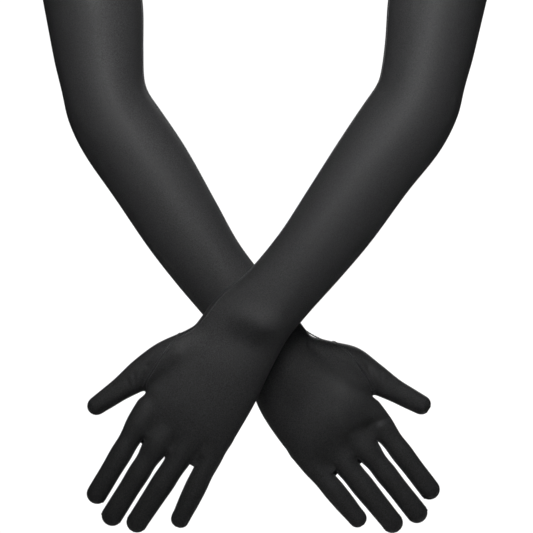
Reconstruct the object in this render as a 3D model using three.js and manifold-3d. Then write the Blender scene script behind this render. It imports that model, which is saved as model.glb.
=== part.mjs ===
// A pair of long stretch-satin opera gloves, worn and crossed at the wrists.
// Millimetres. +Z runs up the arms, +X from the wearer's right hand towards the left, and -Y is the
// side that the backs of the hands face. The origin lies midway between the two arm openings.
//
// Each glove is one skin of cloth, open at the arm. It is cut where the wearer's joints bend it, so
// the skin is a row of firm lengths with a short soft length between each two, and each is a hollow shell.
import * as THREE from "three";
import { mergeVertices } from "three/addons/utils/BufferGeometryUtils.js";
import Module from "manifold-3d";

const wasm = await Module();
wasm.setup();

// Cloth
const CLOTH = 1; // thickness of the satin
const SEAM_GAP = 0.3; // left open between two lengths or panels that are sewn together
const SIDES_ARM = 20; // facets round a sleeve
const SIDES_FINGER = 12; // facets round a finger
const FACET_STRAIGHT = 36; // longest facet along a straight sleeve
const FACET_BEND = 17; // longest facet along the elbow, wrist and palm
const FACET_FINGER = 20; // longest facet along a finger

// Hem: the sleeve's edge turned in over an elastic
const HEM_DEPTH = 18;
const ELASTIC_THICK = 0.8;
const ELASTIC_WIDTH = 10;
const CHANNEL_EASE = 0.4; // play between the elastic and the cloth round it

// Sleeve: lengths down the arm, then half widths across the arm with half depths front to back
const UPPER_ARM = 152.5; // arm opening to elbow
const FOREARM = 215.5; // elbow to wrist
const FOREARM_BOW = 4.5; // how far the forearm bows outwards
const ELBOW_TURN = 16; // how far before and after the elbow the sleeve starts to turn
const HEM_HALF = [41, 41];
const UPPER_HALF = [37.6, 39];
const ABOVE_ELBOW_HALF = [33.8, 37];
const ELBOW_HALF = [33.6, 37.5];
const BELOW_ELBOW_HALF = [33.6, 36];
const MID_FOREARM_HALF = [30.6, 31];
const LOW_FOREARM_HALF = [29.4, 25];
const WRIST_HALF = [28.8, 20];

// Hand: lengths from the wrist towards the fingers
const PALM = 112; // wrist to the foot of the index finger
const HEEL_HALF = [36.6, 18.5];
const KNUCKLE_DEEP = 15;
const WEB_DEEP = 8.6; // half depth of the palm's edge between the fingers
const PALM_SQUARE = 2.5; // how square the palm's section is, 2 being an ellipse

// Fingers, from the thumb's side. foot is where a finger starts, past the index finger's foot, length
// runs from there to its tip, joint to its middle joint, and gap lies between it and the next finger.
const FINGERS = [
  { name: "index", foot: 0, length: 72.4, joint: 28, width: 17.4, tip: 15.4, gap: 2.4 },
  { name: "middle", foot: 9, length: 71.4, joint: 24, width: 17.6, tip: 15.6, gap: 3.2 },
  { name: "ring", foot: 4, length: 70.7, joint: 26, width: 17.2, tip: 15, gap: 4.6 },
  { name: "little", foot: -6, length: 61.6, joint: 26, width: 15.6, tip: 13, gap: 0 },
];
const WEBS = [8, 9, -2]; // how far each web between two fingers lies past the index finger's foot
const WEB_ROOT = 14; // how far a web reaches back into the palm
const FINGER_ROOT = 20; // how far a finger reaches back into the palm
const FINGER_DROOP = 6; // how far a fingertip hangs towards the palm's side
const FOURCHETTE = 10; // width of the strip that joins a finger's two faces
const FOURCHETTE_ROOT = 6; // how far a strip reaches past the web into the hand

// Thumb: its root in the palm's heel, then a line to its tip. Its seam runs along the palm's edge.
const THUMB_FOOT = [40, 30.5]; // from the wrist along the hand, and across from its middle line
const THUMB_LENGTH = 92;
const THUMB_ROOT = 14; // how far it reaches back into the palm
const THUMB_JOINT = 30; // its last joint, from its tip
const THUMB_WIDTHS = [18, 29, 24.5, 18, 12.5]; // at its root, ball, base and joint, and at its tip
const THUMB_FLAT = 0.86; // its depth against its width
const THUMB_DEPTH = -8; // its tip lies this far towards the palm's side
const THUMB_SEAM = [[41, 43], [88, 41]]; // ends of its seam, along the hand and across it
const THUMB_CROTCH = 14; // how far past its seam the thumb's panel runs on as a whole tube

// How far the wearer bends the cloth, in degrees, and the soft lengths that take it up
const FINGER_BEND = 75;
const THUMB_BEND = 50;
const BEND_EASE = 1; // spare length each side of a soft length
const ELBOW_SOFT = 50; // half length of the soft length at the elbow
const WRIST_SOFT = 24;

// How each glove is worn. side is +1 where the hand points towards +X, and opening is the middle of
// the arm opening. Angles are in degrees: leans from the vertical, the thumb's out from the hand's line,
// and splay for each finger, towards the thumb. drift is how far the knuckles lie from the hand's line.
const WEARING = {
  left: {
    side: -1, opening: [147.5, -30, 1.5], upperLean: 11.4, forearmLean: 36.2, handLean: 30,
    drift: 7.8, thumb: 25, splay: [0.3, 2.4, 3.9, -5],
  },
  right: {
    side: 1, opening: [-147.5, 30, -1.5], upperLean: 8.9, forearmLean: 34.3, handLean: 36.5,
    drift: 0.6, thumb: 23, splay: [0.4, 2.4, 3.5, 3],
  },
};

const SATIN = new THREE.MeshStandardMaterial({ color: 0x17171a, roughness: 0.5, metalness: 0 });
const STRIP = new THREE.MeshStandardMaterial({ color: 0x141416, roughness: 0.55, metalness: 0 });
const ELASTIC = new THREE.MeshStandardMaterial({ color: 0x1e1e20, roughness: 0.8, metalness: 0 });

const BACK = new THREE.Vector3(0, -1, 0); // out of the hand's back
const { degToRad: radians, clamp, lerp } = THREE.MathUtils;

// Closed triangles as a solid, turned to face outwards.
function solid(geometry) {
  const merged = mergeVertices(geometry, 1e-4);
  const make = (triVerts) =>
    new wasm.Manifold(
      new wasm.Mesh({ numProp: 3, vertProperties: merged.attributes.position.array, triVerts }),
    );
  const triangles = new Uint32Array(merged.index.array);
  const made = make(triangles);
  return made.volume() > 0 ? made : make(triangles.reverse());
}

const joined = (solids) => solids.reduce((sum, one) => sum.add(one));

function mesh(name, made, material) {
  const { vertProperties, triVerts } = made.getMesh();
  const geometry = new THREE.BufferGeometry();
  geometry.setAttribute("position", new THREE.BufferAttribute(vertProperties, 3));
  geometry.setIndex([...triVerts]);
  geometry.computeVertexNormals();
  const node = new THREE.Mesh(geometry, material);
  node.name = name;
  return node;
}

// Reads a smooth line through rows of [place, value, value ...] at one place.
function smooth(rows, place) {
  const last = rows.length - 1;
  const after = rows.findIndex((row) => row[0] > place);
  const i = clamp(after < 0 ? last - 1 : after - 1, 0, last - 1);
  const [a, b] = [rows[i], rows[i + 1]];
  const span = b[0] - a[0];
  const t = clamp((place - a[0]) / span, 0, 1);
  const rise = (k, column) => {
    const [p, q] = [rows[Math.max(k - 1, 0)], rows[Math.min(k + 1, last)]];
    return ((q[column] - p[column]) / (q[0] - p[0])) * span;
  };
  return a.slice(1).map((value, k) => {
    const gain = b[k + 1] - value;
    const [from, to] = [rise(i, k + 1), rise(i + 1, k + 1)];
    return value + t * from + t * t * (3 * gain - 2 * from - to) + t * t * t * (from + to - 2 * gain);
  });
}

// A line of cloth through stations of [point, half width, half depth, squareness]. at(s, inset) is the
// cloth's section s along the line, taken in by inset, and marks are the stations' own places.
function clothLine(stations) {
  const curve = new THREE.CatmullRomCurve3(stations.map((station) => station[0]));
  const steps = 40;
  curve.arcLengthDivisions = steps * (stations.length - 1);
  const marks = stations.map((_, i) => curve.getLengths()[i * steps]);
  const length = marks.at(-1);
  const rows = stations.map(([, half, deep, square = 2], i) => [marks[i], half, deep, square]);
  const at = (s, inset = 0) => {
    const t = clamp(s / length, 0, 1);
    const along = curve.getTangentAt(t);
    const centre = curve.getPointAt(t).addScaledVector(along, s - t * length);
    const across = new THREE.Vector3().crossVectors(along, BACK).normalize();
    const deep = new THREE.Vector3().crossVectors(across, along);
    const [half, halfDeep, square] = smooth(rows, s);
    return { centre, across, deep, half: half - inset, halfDeep: halfDeep - inset, square };
  };
  return { at, marks, length };
}

// The points round one section.
function ring({ centre, across, deep, half, halfDeep, square }, sides) {
  const bulge = (wave) => Math.sign(wave) * Math.abs(wave) ** (2 / square);
  return Array.from({ length: sides }, (_, i) => {
    const turn = ((i + 0.5) / sides) * 2 * Math.PI;
    return centre
      .clone()
      .addScaledVector(across, half * bulge(Math.cos(turn)))
      .addScaledVector(deep, halfDeep * bulge(Math.sin(turn)));
  });
}

// The triangles between each ring of points and the next, and round to the first if looped.
function bands(rings, looped) {
  const sides = rings[0].length;
  const index = [];
  for (let r = 0; r < rings.length - (looped ? 0 : 1); r++) {
    const [row, next] = [r * sides, ((r + 1) % rings.length) * sides];
    for (let i = 0; i < sides; i++) {
      const j = (i + 1) % sides;
      index.push(row + i, next + i, row + j, row + j, next + i, next + j);
    }
  }
  return index;
}

// A tube of cloth whose wall is a closed profile of [place along the line, inset] corners.
function sewnTube(line, profile, step) {
  const rings = profile.flatMap(([s, inset], i) => {
    const [nextS, nextInset] = profile[(i + 1) % profile.length];
    const parts = Math.max(1, Math.ceil(Math.abs(nextS - s) / step));
    return Array.from({ length: parts }, (_, k) =>
      ring(line.at(lerp(s, nextS, k / parts), lerp(inset, nextInset, k / parts)), line.sides));
  });
  return solid(new THREE.BufferGeometry().setFromPoints(rings.flat()).setIndex(bands(rings, true)));
}

// A plain tube of cloth from one place on a line to another.
function clothTube(line, from, to, step) {
  return sewnTube(line, [[from, 0], [to, 0], [to, CLOTH], [from, CLOTH]], step);
}

// The filled shape inside a row of sections, flat at both ends.
function filled(sections, sides) {
  const rings = sections.map((section) => ring(section, sides));
  const [first, last] = [sections[0].centre, sections.at(-1).centre];
  const start = rings.length * sides;
  const lastRow = start - sides;
  const index = bands(rings, false);
  for (let i = 0; i < sides; i++) {
    const j = (i + 1) % sides;
    index.push(start, i, j, start + 1, lastRow + j, lastRow + i);
  }
  return solid(new THREE.BufferGeometry().setFromPoints([...rings.flat(), first, last]).setIndex(index));
}

// Evenly spaced sections of a line, from one place to another.
function sectionsOf(line, from, to, inset, step) {
  const parts = Math.max(1, Math.ceil((to - from) / step));
  return Array.from({ length: parts + 1 }, (_, k) => line.at(lerp(from, to, k / parts), inset));
}

// A line's filled shape from one place to its round tip.
function filledToTip(line, from, inset) {
  const dome = line.at(line.length).half;
  const straight = line.length - dome;
  const round = [30, 56, 78].map((turn) => {
    const section = line.at(straight + (dome - inset) * Math.sin(radians(turn)), inset);
    const shrink = Math.cos(radians(turn));
    return { ...section, half: section.half * shrink, halfDeep: section.halfDeep * shrink };
  });
  return filled([...sectionsOf(line, from, straight, inset, FACET_FINGER), ...round], line.sides);
}

// The arm opening, elbow and wrist, and the hand's own directions. A hand's place is along it from
// the wrist, across it from the drifting middle line towards the thumb, and out towards its back.
function armFrame(worn) {
  const leaning = (lean) =>
    new THREE.Vector3(worn.side * Math.sin(radians(lean)), 0, -Math.cos(radians(lean)));
  const [upper, lower, along] = [worn.upperLean, worn.forearmLean, worn.handLean].map(leaning);
  const across = new THREE.Vector3(-worn.side * along.z, 0, worn.side * along.x);
  const outward = new THREE.Vector3(worn.side * lower.z, 0, -worn.side * lower.x);
  const elbow = upper.clone().multiplyScalar(UPPER_ARM);
  const wrist = elbow.clone().addScaledVector(lower, FOREARM);
  const drift = (u) => worn.drift * clamp(u / PALM, 0, 1);
  const place = (u, v, w = 0) =>
    wrist.clone().addScaledVector(along, u).addScaledVector(across, v + drift(u)).addScaledVector(BACK, w);
  return { upper, lower, along, across, outward, elbow, wrist, place };
}

// The line down the arm and through the palm.
function armLine(frame, knuckleHalf) {
  const { upper, lower, outward, elbow, wrist, place } = frame;
  const down = (share, bow) =>
    elbow.clone().addScaledVector(lower, share * FOREARM).addScaledVector(outward, bow * FOREARM_BOW);
  const turn = elbow.clone().addScaledVector(upper, -ELBOW_TURN / 4).addScaledVector(lower, ELBOW_TURN / 4);
  const line = clothLine([
    [new THREE.Vector3(), ...HEM_HALF],
    [elbow.clone().multiplyScalar(0.5), ...UPPER_HALF],
    [elbow.clone().addScaledVector(upper, -ELBOW_TURN), ...ABOVE_ELBOW_HALF],
    [turn, ...ELBOW_HALF],
    [down(ELBOW_TURN / FOREARM, 0), ...BELOW_ELBOW_HALF],
    [down(0.45, 1), ...MID_FOREARM_HALF],
    [down(0.76, 0.7), ...LOW_FOREARM_HALF],
    [wrist, ...WRIST_HALF],
    [place(PALM * 0.45, 0), ...HEEL_HALF, PALM_SQUARE],
    [place(PALM * 0.82, 0), knuckleHalf, KNUCKLE_DEEP, PALM_SQUARE],
    [place(PALM * 1.1, 0), knuckleHalf, WEB_DEEP, PALM_SQUARE],
  ]);
  return { ...line, sides: SIDES_ARM, atElbow: line.marks[3], atWrist: line.marks[7] };
}

// Each finger's place across the knuckles, and half the knuckles' width.
function knuckles() {
  const places = [0];
  for (let i = 1; i < FINGERS.length; i++) {
    const [a, b] = [FINGERS[i - 1], FINGERS[i]];
    places.push(places[i - 1] - (a.width + b.width) / 2 - a.gap);
  }
  const [high, low] = [places[0] + FINGERS[0].width / 2, places.at(-1) - FINGERS.at(-1).width / 2];
  return { places: places.map((place) => place - (high + low) / 2), half: (high - low) / 2 };
}

// A finger's line, from its root in the palm to its tip.
function fingerLine(frame, finger, across, splay) {
  const at = (s) => {
    const droop = FINGER_DROOP * (Math.max(0, s) / finger.length) ** 2;
    const [u, v] = [s * Math.cos(radians(splay)), s * Math.sin(radians(splay))];
    return frame.place(PALM + finger.foot + u, across + v, -droop);
  };
  const [half, tip] = [finger.width / 2, finger.tip / 2];
  const line = clothLine([
    [at(-FINGER_ROOT), half, half],
    [at(0), half, half],
    [at(finger.joint), half, half * 0.98],
    [at(lerp(finger.joint, finger.length, 0.5)), lerp(half, tip, 0.4), lerp(half, tip, 0.4) * 0.96],
    [at(finger.length), tip, tip * 0.92],
  ]);
  return { ...line, sides: SIDES_FINGER, joint: line.marks[2], across };
}

// The thumb's line, from its root in the palm's heel to its tip.
function thumbLine(frame, lean) {
  const at = (s) => {
    const [u, v] = [s * Math.cos(radians(lean)), s * Math.sin(radians(lean))];
    return frame.place(THUMB_FOOT[0] + u, THUMB_FOOT[1] + v, THUMB_DEPTH * (Math.max(0, s) / THUMB_LENGTH));
  };
  const joint = THUMB_LENGTH - THUMB_JOINT;
  const places = [-THUMB_ROOT, joint / 3, joint * 0.7, joint, THUMB_LENGTH];
  const halves = THUMB_WIDTHS.map((width) => width / 2);
  const line = clothLine(places.map((s, i) => [at(s), halves[i], halves[i] * THUMB_FLAT]));
  return { ...line, sides: SIDES_FINGER, joint: line.marks[3] };
}

// The half length of soft cloth that lets a tube this deep bend by this angle.
const softHalf = (halfDeep, bend) => halfDeep * Math.tan(radians(bend / 2)) + BEND_EASE;

// A finger's or thumb's soft length over its joint, and the stall past it.
function stall(name, line, bend) {
  const soft = softHalf(line.at(line.joint).halfDeep, bend);
  const from = line.joint + soft + SEAM_GAP;
  const shell = filledToTip(line, from, 0).subtract(filledToTip(line, from - CLOTH, CLOTH));
  return {
    foot: line.joint - soft - SEAM_GAP, // where the firm cloth of the hand ends
    nodes: [
      mesh(`${name}_knuckle`, clothTube(line, line.joint - soft, line.joint + soft, FACET_FINGER), SATIN),
      mesh(`${name}_tip`, shell, SATIN),
    ],
  };
}

// A box whose first edge runs in the direction along and whose third runs out of the hand's back.
function panelBox(origin, along, across, low, high) {
  const size = high.map((value, i) => value - low[i]);
  const [u, v, w] = low.map((value, i) => value + size[i] / 2);
  const centre = origin.clone().addScaledVector(along, u).addScaledVector(across, v).addScaledVector(BACK, w);
  const box = new THREE.BoxGeometry(...size);
  box.deleteAttribute("normal");
  box.deleteAttribute("uv");
  return solid(box.applyMatrix4(new THREE.Matrix4().makeBasis(along, across, BACK).setPosition(centre)));
}

// The hand with the fingers' and thumb's feet as one filled shape, taken in by inset. Its open ends
// run on by spare.
function handShape(arm, frame, fingers, thumb, inset, spare) {
  const from = arm.atWrist + WRIST_SOFT + SEAM_GAP;
  const palmEnd = arm.marks.at(-2) + (arm.marks.at(-1) - arm.marks.at(-2)) / 2;
  const web = (i) => {
    const [a, b] = [fingers[i], fingers[i + 1]];
    const deep = WEB_DEEP - CLOTH - inset;
    return panelBox(
      frame.place(PALM, 0), frame.along, frame.across,
      [-WEB_ROOT + inset, b.across + inset, -deep], [WEBS[i] - inset, a.across - inset, deep],
    );
  };
  // A foot starts no nearer the arm than the palm does.
  const start = arm.at(from - spare);
  const along = new THREE.Vector3().crossVectors(BACK, start.across);
  const beforePalm = panelBox(start.centre, along, start.across, [-PALM, -PALM, -PALM], [0, PALM, PALM]);
  const foot = (line) =>
    filled(sectionsOf(line, inset, line.foot + spare, inset, FACET_FINGER), SIDES_FINGER)
      .subtract(beforePalm);
  return joined([
    filled(sectionsOf(arm, from - spare, palmEnd - inset, inset, FACET_BEND), SIDES_ARM),
    ...WEBS.map((_, i) => web(i)),
    ...[...fingers, thumb].map(foot),
  ]);
}

// The hand's cloth: palm and back in one, the thumb's panel and the three fourchettes.
function handPanels(name, arm, frame, fingers, thumb) {
  // The thumb past its foot goes by the palm's edge with a gap.
  const thumbPast = sectionsOf(thumb, thumb.foot + SEAM_GAP / 2, thumb.length, -SEAM_GAP, FACET_FINGER);
  const whole = handShape(arm, frame, fingers, thumb, 0, 0)
    .subtract(handShape(arm, frame, fingers, thumb, CLOTH, 2))
    .subtract(filled(thumbPast, SIDES_FINGER));

  // The thumb's panel is what lies past its seam.
  const [seamFrom, seamTo] = THUMB_SEAM.map(([u, v]) => frame.place(u, v));
  const seamAlong = seamTo.clone().sub(seamFrom).normalize();
  const seamAcross = new THREE.Vector3().crossVectors(seamAlong, BACK);
  seamAcross.multiplyScalar(Math.sign(seamAcross.dot(frame.across)));
  const reach = THUMB_LENGTH;
  const seamEnd = seamFrom.distanceTo(seamTo) + THUMB_CROTCH;
  const pastSeam = (gap) =>
    panelBox(seamFrom, seamAlong, seamAcross, [-reach, gap, -reach], [seamEnd, reach, reach]);
  const thumbFoot = whole.intersect(pastSeam(SEAM_GAP));
  let palmAndBack = whole.subtract(pastSeam(0));

  // Each fourchette joins the facing sides of two fingers and runs round the web between them.
  const nodes = [mesh(`${name}_thumb_foot`, thumbFoot, SATIN)];
  for (let i = 0; i < WEBS.length; i++) {
    const [a, b] = [fingers[i], fingers[i + 1]];
    const origin = frame.place(PALM + WEBS[i], (a.across + b.across) / 2);
    const half = (a.across - b.across) / 2 - CLOTH;
    const strip = (gap) =>
      panelBox(
        origin, frame.along, frame.across,
        [-FOURCHETTE_ROOT - gap, -half - gap, -FOURCHETTE / 2 - gap],
        [FINGERS[i].length, half + gap, FOURCHETTE / 2 + gap],
      );
    nodes.push(mesh(`${name}_fourchette_${i + 1}`, palmAndBack.intersect(strip(0)), STRIP));
    palmAndBack = palmAndBack.subtract(strip(SEAM_GAP));
  }
  return [mesh(`${name}_palm_and_back`, palmAndBack, SATIN), ...nodes];
}

// The sleeve, from the turned-in hem to the wrist.
function sleeve(name, arm) {
  const channel = ELASTIC_THICK + 2 * CHANNEL_EASE;
  const facing = CLOTH + channel;
  const [elbowFrom, elbowTo] = [arm.atElbow - ELBOW_SOFT, arm.atElbow + ELBOW_SOFT];
  const [wristFrom, wristTo] = [arm.atWrist - WRIST_SOFT, arm.atWrist + WRIST_SOFT];
  const [forearmFrom, forearmTo] = [elbowTo + SEAM_GAP, wristFrom - SEAM_GAP];
  const upper = [
    [0, 0], [elbowFrom - SEAM_GAP, 0], [elbowFrom - SEAM_GAP, CLOTH], [CLOTH, CLOTH],
    [CLOTH, facing], [HEM_DEPTH, facing], [HEM_DEPTH, facing + CLOTH], [0, facing + CLOTH],
  ];
  const near = CLOTH + CHANNEL_EASE;
  const far = near + ELASTIC_THICK;
  const elastic = [[near, near], [near + ELASTIC_WIDTH, near], [near + ELASTIC_WIDTH, far], [near, far]];
  return [
    mesh(`${name}_upper_sleeve`, sewnTube(arm, upper, FACET_STRAIGHT), SATIN),
    mesh(`${name}_hem_elastic`, sewnTube(arm, elastic, FACET_STRAIGHT), ELASTIC),
    mesh(`${name}_elbow`, clothTube(arm, elbowFrom, elbowTo, FACET_BEND), SATIN),
    mesh(`${name}_forearm_sleeve`, clothTube(arm, forearmFrom, forearmTo, FACET_STRAIGHT), SATIN),
    mesh(`${name}_wrist`, clothTube(arm, wristFrom, wristTo, FACET_BEND), SATIN),
  ];
}

function glove(name, worn) {
  const frame = armFrame(worn);
  const { places, half } = knuckles();
  const arm = armLine(frame, half);
  const fingers = FINGERS.map((finger, i) => fingerLine(frame, finger, places[i], worn.splay[i]));
  const thumb = thumbLine(frame, worn.thumb);
  const group = new THREE.Group();
  group.position.set(...worn.opening);
  group.add(...sleeve(name, arm));
  for (const [i, line] of fingers.entries()) {
    const made = stall(`${name}_${FINGERS[i].name}`, line, FINGER_BEND);
    line.foot = made.foot;
    group.add(...made.nodes);
  }
  const made = stall(`${name}_thumb`, thumb, THUMB_BEND);
  thumb.foot = made.foot;
  group.add(...made.nodes);
  group.add(...handPanels(name, arm, frame, fingers, thumb));

  // The lines that the wearer's joints bend the cloth about. A positive turn bends the arm at the
  // elbow, and bends the rest towards the palm's side.
  const hinge = ({ centre, across }) => ({
    point: centre.clone().add(group.position),
    axis: across.clone().negate(),
  });
  group.userData.hinges = {
    elbow: { point: frame.elbow.clone().add(group.position), axis: BACK.clone().multiplyScalar(worn.side) },
    wrist: hinge(arm.at(arm.atWrist)),
    thumb: hinge(thumb.at(thumb.joint)),
    ...Object.fromEntries(fingers.map((line, i) => [FINGERS[i].name, hinge(line.at(line.joint))])),
  };
  return group;
}

const gloves = new THREE.Group();
for (const [name, worn] of Object.entries(WEARING)) gloves.add(glove(name, worn));

export default gloves;
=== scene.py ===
import math

import bmesh
import bpy
import numpy as np
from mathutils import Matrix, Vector


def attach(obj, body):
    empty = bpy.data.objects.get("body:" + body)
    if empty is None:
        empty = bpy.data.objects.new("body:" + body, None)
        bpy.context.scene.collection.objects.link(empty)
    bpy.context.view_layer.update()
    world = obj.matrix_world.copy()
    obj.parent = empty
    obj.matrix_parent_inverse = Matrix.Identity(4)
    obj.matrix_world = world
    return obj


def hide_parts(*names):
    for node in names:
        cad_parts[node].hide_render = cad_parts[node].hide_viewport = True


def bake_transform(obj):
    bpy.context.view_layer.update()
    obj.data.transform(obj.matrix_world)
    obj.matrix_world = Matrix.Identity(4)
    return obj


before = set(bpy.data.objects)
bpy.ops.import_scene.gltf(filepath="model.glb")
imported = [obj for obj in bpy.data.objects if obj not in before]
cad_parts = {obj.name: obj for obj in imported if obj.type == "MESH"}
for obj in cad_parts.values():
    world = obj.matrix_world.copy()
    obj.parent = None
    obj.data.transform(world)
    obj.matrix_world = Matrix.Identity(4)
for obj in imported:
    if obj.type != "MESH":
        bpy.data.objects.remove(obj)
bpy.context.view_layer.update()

# A pair of long black stretch-satin opera gloves, filled as if worn and crossed at the wrists.
#
# Sizes are millimetres until a mesh is made. Each glove is shaped in its hand's own directions: u runs
# from the wrist to the fingers, v across towards the thumb, and w out of the back of the hand.

MM = 0.001

# ---------------------------------------------------------------------------------- how it is worn

UPPER_ARM = 152.5
FOREARM = 215.5
PALM = 112.0
WORN = {
    "left": dict(side=-1, opening=(147.5, -30.0, 1.5), upper=11.4, lower=36.2, hand=30.0, drift=7.8),
    "right": dict(side=1, opening=(-147.5, 30.0, -1.5), upper=8.9, lower=34.3, hand=36.5, drift=0.6),
}

# Down the arm from its opening: [place, half towards the thumb's side, half towards the other, back
# depth, palm depth]. The line it is measured from is rounded at the elbow and the wrist.
ARM_SHAPE = {
    "left": [
        (-2, 41.0, 41.0, 41.0, 41.0), (40, 39.6, 38.6, 40.0, 40.0), (80, 37.9, 37.1, 38.8, 38.8),
        (112, 33.8, 36.0, 37.4, 37.4), (136, 31.8, 34.6, 37.2, 37.2), (152, 31.0, 36.4, 37.2, 37.2),
        (178, 31.6, 38.0, 36.0, 36.0), (214, 30.2, 36.3, 33.6, 33.6), (262, 27.1, 36.2, 29.6, 29.6),
        (298, 25.1, 33.7, 26.0, 26.0), (334, 27.0, 30.0, 22.2, 22.2), (356, 31.6, 28.6, 20.2, 20.2),
        (372, 37.0, 28.6, 18.6, 19.4), (392, 39.0, 30.2, 17.4, 19.4), (420, 35.6, 36.0, 16.6, 18.6),
    ],
    "right": [
        (-2, 41.0, 41.0, 41.0, 41.0), (40, 40.0, 38.6, 40.0, 40.0), (80, 39.0, 37.3, 38.8, 38.8),
        (112, 34.3, 36.2, 37.4, 37.4), (136, 31.0, 34.6, 37.2, 37.2), (152, 30.6, 35.8, 37.2, 37.2),
        (178, 32.0, 37.0, 36.0, 36.0), (214, 31.7, 36.5, 33.6, 33.6), (262, 27.3, 36.5, 29.6, 29.6),
        (298, 24.0, 34.2, 26.0, 26.0), (334, 25.6, 30.4, 22.2, 22.2), (356, 27.0, 29.0, 20.2, 20.2),
        (372, 28.8, 29.6, 18.6, 19.4), (392, 29.0, 33.0, 17.4, 19.4), (420, 33.0, 38.4, 16.6, 18.6),
    ],
}
HEM_DEPTH = 18.0
ELBOW_ROUND = 15.0
WRIST_ROUND = 9.0

# Along the palm: [place, half towards the thumb, half towards the little finger, back, palm, squareness]
PALM_SHAPE = {
    "left": [
        (-30, 29.0, 28.0, 19.5, 18.0, 2.0), (0, 34.6, 29.0, 19.0, 18.8, 2.05),
        (26, 36.8, 31.6, 15.4, 19.0, 2.2), (50, 37.4, 35.4, 14.6, 18.8, 2.35),
        (75, 38.8, 37.3, 13.8, 17.4, 2.45), (95, 40.4, 38.2, 12.6, 15.6, 2.5),
        (112, 40.4, 38.2, 10.6, 12.2, 2.5), (122, 39.6, 37.8, 8.6, 9.4, 2.4),
    ],
    "right": [
        (-30, 27.4, 28.4, 17.0, 18.0, 2.0), (0, 28.2, 29.0, 15.6, 18.8, 2.05),
        (26, 28.6, 33.4, 15.8, 19.0, 2.2), (50, 32.6, 38.8, 17.2, 18.8, 2.3),
        (75, 38.0, 40.2, 18.8, 17.4, 2.35), (95, 39.4, 39.2, 18.2, 15.6, 2.4),
        (112, 39.6, 37.6, 12.6, 12.2, 2.5), (122, 39.0, 37.0, 8.8, 9.4, 2.4),
    ],
}

# Fingers: foot past the index finger's foot, length, joint, half widths at the foot, joint and tip
FINGERS = {
    "index": dict(across=30.3, foot=0, length=73.2, joint=28, half=(10.1, 8.6, 7.8), cut=126.5),
    "middle": dict(across=10.4, foot=9, length=73.2, joint=24, half=(10.4, 8.7, 8.0), cut=131.0),
    "ring": dict(across=-10.2, foot=4, length=72.0, joint=26, half=(9.8, 9.2, 7.9), cut=128.0),
    "little": dict(across=-30.6, foot=-6, length=62.2, joint=26, half=(9.2, 8.5, 7.0), cut=118.0),
}
SPLAY = {
    "left": dict(index=1.0, middle=2.1, ring=3.3, little=-4.0, thumb=24.8),
    "right": dict(index=0.9, middle=1.9, ring=2.4, little=3.2, thumb=23.7),
}
WEBS = [8.0, 9.0, -2.0]
WEB_DEEP = 7.6
FINGER_DROOP = 6.0
DROOP_REACH = 74.0
FINGER_ROOT = 24.0
THUMB_FOOT = (40.0, 30.5)
THUMB_LENGTH = 92.0
THUMB_JOINT = 62.0
THUMB_DEPTH = -8.0
THUMB_CUT = 52.5
THUMB_SHAPE = {
    "left": [
        (-16, 10.0, 9.0, 8.6, 9.0), (0, 13.0, 13.0, 11.0, 12.0), (21, 15.8, 15.0, 12.6, 13.6),
        (43, 14.0, 10.6, 10.6, 11.2), (62, 10.0, 8.2, 8.2, 8.2), (78, 7.8, 7.8, 7.2, 7.2),
        (92, 6.6, 6.8, 6.0, 6.2),
    ],
    "right": [
        (-16, 4.0, 9.0, 8.6, 9.0), (0, 9.0, 13.0, 11.0, 12.0), (21, 14.8, 15.0, 12.6, 13.6),
        (43, 12.2, 11.8, 10.6, 11.2), (62, 9.1, 9.2, 8.2, 8.2), (78, 8.4, 8.0, 7.2, 7.2),
        (95, 7.8, 6.4, 6.0, 6.2),
    ],
}
CLOTH = 0.6
VOXEL = 1.36

# Bones and folds: [from u, v, to u, v, half width, height, +1 on the back of the hand or -1 on the palm]
FORMS = {
    "left": [
        (-5, -16, 0, -8, 9.5, 3.8, 1), (-6, -4, 0, 10, 9.0, 1.7, 1), (14, -16, 18, 4, 11.0, -1.5, 1),
        (-34, -20, -18, -16, 9.0, 0.7, 1), (45, 40, 49, 38, 5.5, 0.9, 1), (62, 36, 76, 34, 6.0, -0.9, 1),
    ],
    "right": [
        (78, 24, 96, 28, 13.0, 3.2, 1), (86, 6, 96, 6, 9.0, 1.5, 1), (110, 37, 107, 24, 3.4, -1.5, 1),
        (107, 24, 103, 10, 3.4, -1.2, 1), (103, 8, 101, -12, 3.4, -0.7, 1), (24, -16, 60, -20, 13.0, -1.6, 1),
        (34, 42, 40, 42, 4.5, 0.7, 1),
    ],
    "both": [
        (103, 30, 109, 30, 7.0, 0.5, 1), (106, 10.4, 114, 10.4, 7.0, 0.6, 1),
        (103, -10, 110, -10, 6.5, 0.5, 1), (95, -30, 101, -30, 6.0, 0.4, 1),
        (110, 20.5, 118, 20.5, 3.0, -0.7, 1), (109, 0, 118, 0, 3.0, -0.7, 1),
        (100, -20.5, 108, -20.5, 3.0, -0.7, 1), (22, 30, 60, 38, 9.0, 1.4, -1),
        (30, -26, 70, -28, 9.0, 1.2, -1),
        (45, 2, 85, 2, 12.0, -1.6, -1), (88, 45, 70, 50, 1.9, -1.1, 1), (70, 50, 58, 51, 1.7, -0.6, 1),
        (89, 48, 80, 56, 1.4, -0.6, 1), (91, 51, 86, 60, 1.2, -0.4, 1), (90, 44, 96, 38, 1.5, -0.5, 1),
    ],
}


# --------------------------------------------------------------------------------- shaping the cloth


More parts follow.
